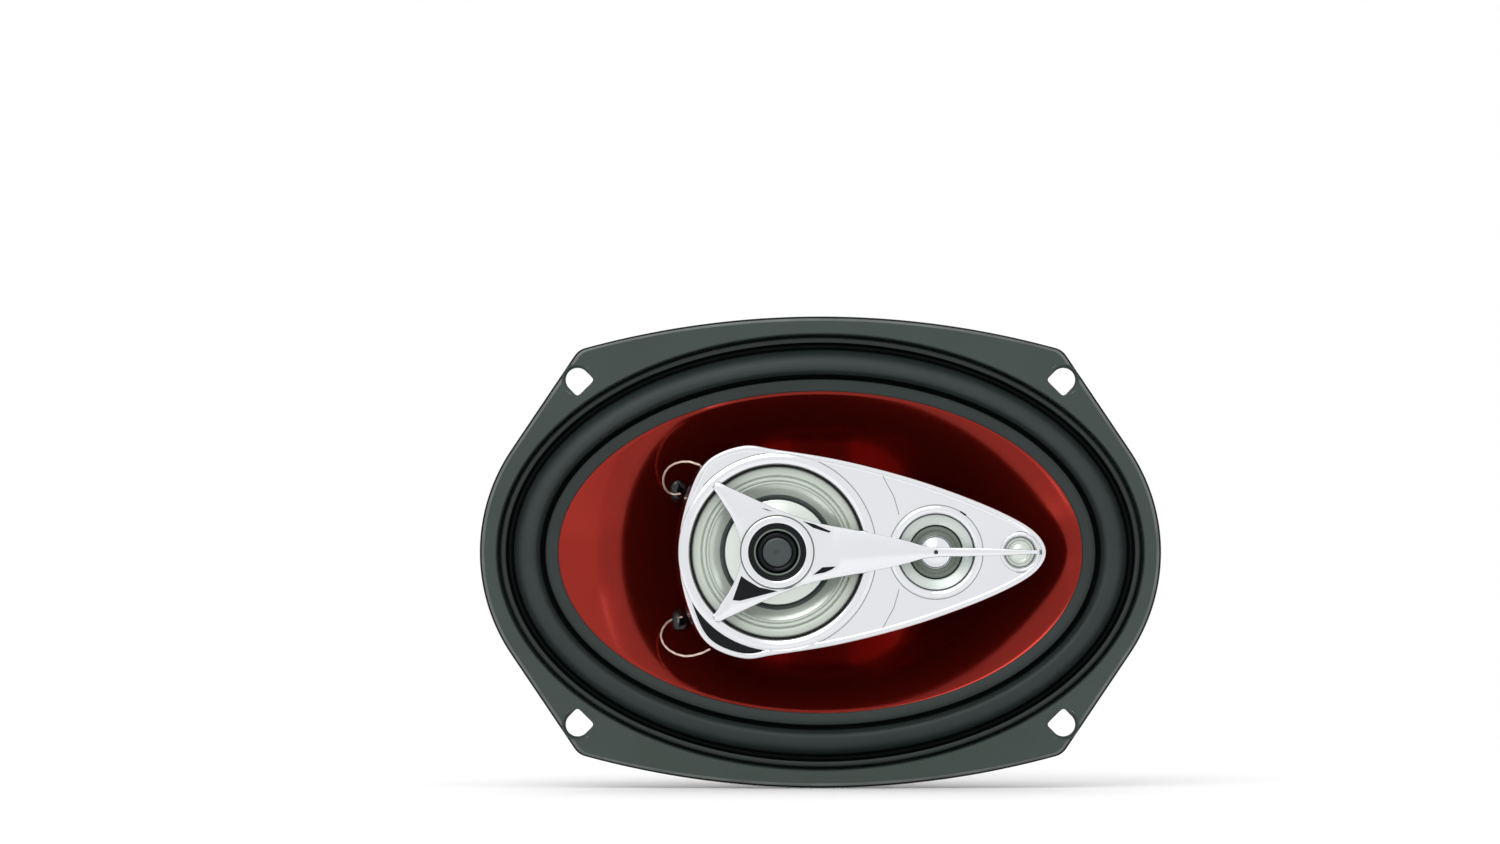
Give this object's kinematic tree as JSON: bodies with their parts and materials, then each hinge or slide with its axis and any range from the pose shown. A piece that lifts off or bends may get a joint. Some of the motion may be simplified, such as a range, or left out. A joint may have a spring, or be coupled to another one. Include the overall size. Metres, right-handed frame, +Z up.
{
  "type": "coaxial car speaker",
  "caption": "Oval coaxial car loudspeaker: glossy cone in a steel basket, with a teardrop pod that carries a midrange, a dome tweeter and two small tweeters.",
  "frame": {"origin": "on the speaker's axis, in the plane that the back of the flange seats on", "axes": "+X along the long axis towards the pod's tip, -Y forward out of the cone, +Z up across the short axis"},
  "size_m": [0.235, 0.1017, 0.1626],
  "materials": {
    "black_steel": "satin, dark greenish grey",
    "rubber": "matt",
    "red_cone": "glossy coloured polypropylene",
    "bright_plastic": "bright plated plastic",
    "black_plastic": "satin moulding",
    "glue": "glossy glue",
    "silver_film": "pale metallised film",
    "mid_edge": "pale soft edge",
    "silver_plastic": "satin silver paint",
    "dome_dark": "satin dark dome",
    "cloth": "resin-treated cloth",
    "aluminium": "bare foil",
    "copper": "copper strand",
    "zinc_steel": "zinc plated",
    "ferrite": "ground ferrite",
    "terminal": "tinned brass"
  },
  "bodies": {
    "frame": {"basket": "black_steel", "surround": "rubber", "spider": "cloth", "top_plate": "zinc_steel", "magnet": "ferrite", "t_yoke": "zinc_steel", "pod_post": "black_plastic", "pod_bolt": "zinc_steel", "pod_cover": "bright_plastic", "pod_bridge": "bright_plastic", "pod_tray": "black_plastic", "mid_frame": "silver_plastic", "mid_surround": "mid_edge", "mid_yoke": "zinc_steel", "mid_magnet": "ferrite", "mid_pole_plate": "zinc_steel", "centre_tweeter_case": "black_plastic", "centre_tweeter_magnet": "ferrite", "side_tweeter_frame": "silver_plastic", "side_tweeter_motor": "ferrite", "super_tweeter_case": "silver_plastic", "super_tweeter_piezo": "ferrite", "capacitor_1": "black_plastic", "capacitor_2": "black_plastic", "terminal_board": "black_plastic", "terminal_positive": "terminal", "terminal_negative": "terminal", "terminal_rivet_1": "zinc_steel", "terminal_rivet_2": "zinc_steel", "lead_front_1": "copper", "lead_front_2": "copper", "lead_rear_1": "copper", "lead_rear_2": "copper", "basket_rivet_1": "zinc_steel", "basket_rivet_2": "zinc_steel", "basket_rivet_3": "zinc_steel", "basket_rivet_4": "zinc_steel", "pod_screw_1": "zinc_steel", "pod_screw_2": "zinc_steel", "pod_screw_3": "zinc_steel", "post_screw_1": "zinc_steel", "post_screw_2": "zinc_steel"},
    "cone": {"cone": "red_cone", "coil_former": "aluminium", "coil_winding": "copper", "lead_eyelet_1": "glue", "lead_eyelet_2": "glue"},
    "mid_diaphragm": {"mid_cone": "silver_film", "mid_coil": "copper"},
    "centre_dome": {"centre_tweeter_dome": "dome_dark"},
    "side_dome": {"side_tweeter_dome": "silver_film"},
    "super_diaphragm": {"super_tweeter_diaphragm": "silver_film"}
  },
  "joints": [
    {"name": "cone_travel", "type": "slide", "parent": "frame", "child": "cone", "axis": [0, -1, 0], "range_m": [-0.005, 0.005], "stiffness_N_per_m": 1500, "deforming": ["surround", "spider", "lead_rear_1", "lead_rear_2", "lead_front_1", "lead_front_2"]},
    {"name": "midrange_travel", "type": "slide", "parent": "frame", "child": "mid_diaphragm", "axis": [0, -1, 0], "range_m": [-0.0008, 0.0008], "stiffness_N_per_m": 1500, "deforming": ["mid_surround"]},
    {"name": "centre_tweeter_travel", "type": "slide", "parent": "frame", "child": "centre_dome", "axis": [0, -1, 0], "range_m": [-0.0003, 0.0003], "stiffness_N_per_m": 1200},
    {"name": "side_tweeter_travel", "type": "slide", "parent": "frame", "child": "side_dome", "axis": [0, -1, 0], "range_m": [-0.0003, 0.0003], "stiffness_N_per_m": 1200},
    {"name": "super_tweeter_travel", "type": "slide", "parent": "frame", "child": "super_diaphragm", "axis": [0, -1, 0], "range_m": [-0.0002, 0.0002], "stiffness_N_per_m": 1200}
  ]
}
